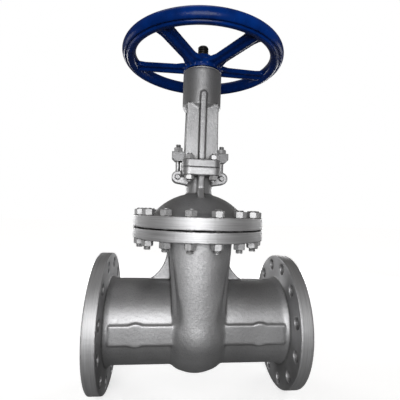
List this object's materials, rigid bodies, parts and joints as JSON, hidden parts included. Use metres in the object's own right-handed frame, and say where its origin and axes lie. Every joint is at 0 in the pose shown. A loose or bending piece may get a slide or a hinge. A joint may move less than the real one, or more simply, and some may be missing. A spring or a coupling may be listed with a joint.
{
  "type": "gate valve",
  "caption": "Flanged wedge gate valve with a bolted bonnet, bolted yoke, rising stem and spoked handwheel; turning the wheel lifts the wedge clear of the bore.",
  "frame": {"origin": "centre of the inlet raised face, on the flow axis", "axes": "+X along the flow from inlet to outlet, +Z along the stem towards the handwheel"},
  "size_m": [0.55, 0.45, 0.9697],
  "materials": {
    "grey_paint": "silver-grey paint over cast steel",
    "painted_fasteners": "silver-grey paint over steel",
    "blue_paint": "gloss blue paint",
    "greased_steel": "steel with dark grease",
    "machined_steel": "machined",
    "bronze": "machined bronze",
    "graphite": "graphite packing"
  },
  "bodies": {
    "valve_body": {"body": "grey_paint", "seat_ring_inlet": "machined_steel", "seat_ring_outlet": "machined_steel", "bonnet_gasket": "graphite", "bonnet": "grey_paint", "bonnet_studs": "painted_fasteners", "bonnet_nuts_upper": "painted_fasteners", "bonnet_nuts_lower": "painted_fasteners", "backseat_bush": "machined_steel", "packing_ring_1": "graphite", "packing_ring_2": "graphite", "packing_ring_3": "graphite", "packing_ring_4": "graphite", "packing_ring_5": "graphite", "gland_follower": "machined_steel", "gland_flange": "grey_paint", "eyebolt_pin_left": "painted_fasteners", "eyebolt_pin_right": "painted_fasteners", "yoke": "grey_paint", "yoke_studs": "painted_fasteners", "yoke_nuts_upper": "painted_fasteners", "yoke_nuts_lower": "painted_fasteners", "bearing_cap": "grey_paint", "lower_bearing_washer": "machined_steel", "upper_bearing_washer": "machined_steel"},
    "handwheel_and_stem_nut": {"handwheel": "blue_paint", "handwheel_key": "machined_steel", "handwheel_lock_nut": "blue_paint", "stem_nut": "bronze", "lower_bearing_race": "machined_steel", "upper_bearing_race": "machined_steel"},
    "stem_and_wedge": {"stem": "greased_steel", "wedge": "machined_steel"},
    "lower_cage": {"lower_bearing_cage": "bronze", "lower_bearing_balls": "machined_steel"},
    "upper_cage": {"upper_bearing_cage": "bronze", "upper_bearing_balls": "machined_steel"},
    "left_eyebolt": {"eyebolt_left": "painted_fasteners"},
    "right_eyebolt": {"eyebolt_right": "painted_fasteners"},
    "left_gland_nut": {"gland_nut_left": "painted_fasteners"},
    "right_gland_nut": {"gland_nut_right": "painted_fasteners"}
  },
  "joints": [
    {"name": "handwheel_turn", "type": "hinge", "parent": "valve_body", "child": "handwheel_and_stem_nut", "pos_m": [0.275, 0, 0.7445], "axis": [0, 0, 1], "range_deg": [0, 12720]},
    {"name": "stem_rise", "type": "slide", "parent": "valve_body", "child": "stem_and_wedge", "axis": [0, 0, 1], "range_m": [0, 0.2121]},
    {"name": "lower_cage_turn", "type": "hinge", "parent": "valve_body", "child": "lower_cage", "pos_m": [0.275, 0, 0.6452], "axis": [0, 0, 1], "range_deg": [0, 6361]},
    {"name": "upper_cage_turn", "type": "hinge", "parent": "valve_body", "child": "upper_cage", "pos_m": [0.275, 0, 0.6724], "axis": [0, 0, 1], "range_deg": [0, 6361]},
    {"name": "left_eyebolt_swing", "type": "hinge", "parent": "valve_body", "child": "left_eyebolt", "pos_m": [0.2125, 0, 0.408], "axis": [0, -1, 0], "range_deg": [0, 45]},
    {"name": "right_eyebolt_swing", "type": "hinge", "parent": "valve_body", "child": "right_eyebolt", "pos_m": [0.3375, 0, 0.408], "axis": [0, 1, 0], "range_deg": [0, 45]},
    {"name": "left_gland_nut_back_off", "type": "slide", "parent": "left_eyebolt", "child": "left_gland_nut", "axis": [0, 0, 1], "range_m": [0, 0.0127]},
    {"name": "right_gland_nut_back_off", "type": "slide", "parent": "right_eyebolt", "child": "right_gland_nut", "axis": [0, 0, 1], "range_m": [0, 0.0127]}
  ],
  "couplings": [
    {"joint": "stem_rise", "follows": "handwheel_turn", "m_per_rad": 0.00095493},
    {"joint": "lower_cage_turn", "follows": "handwheel_turn", "ratio": 0.5},
    {"joint": "upper_cage_turn", "follows": "handwheel_turn", "ratio": 0.5},
    {"joint": "left_gland_nut_back_off", "follows": "left_eyebolt_swing", "m_per_rad": 0.016},
    {"joint": "right_gland_nut_back_off", "follows": "right_eyebolt_swing", "m_per_rad": 0.016}
  ]
}
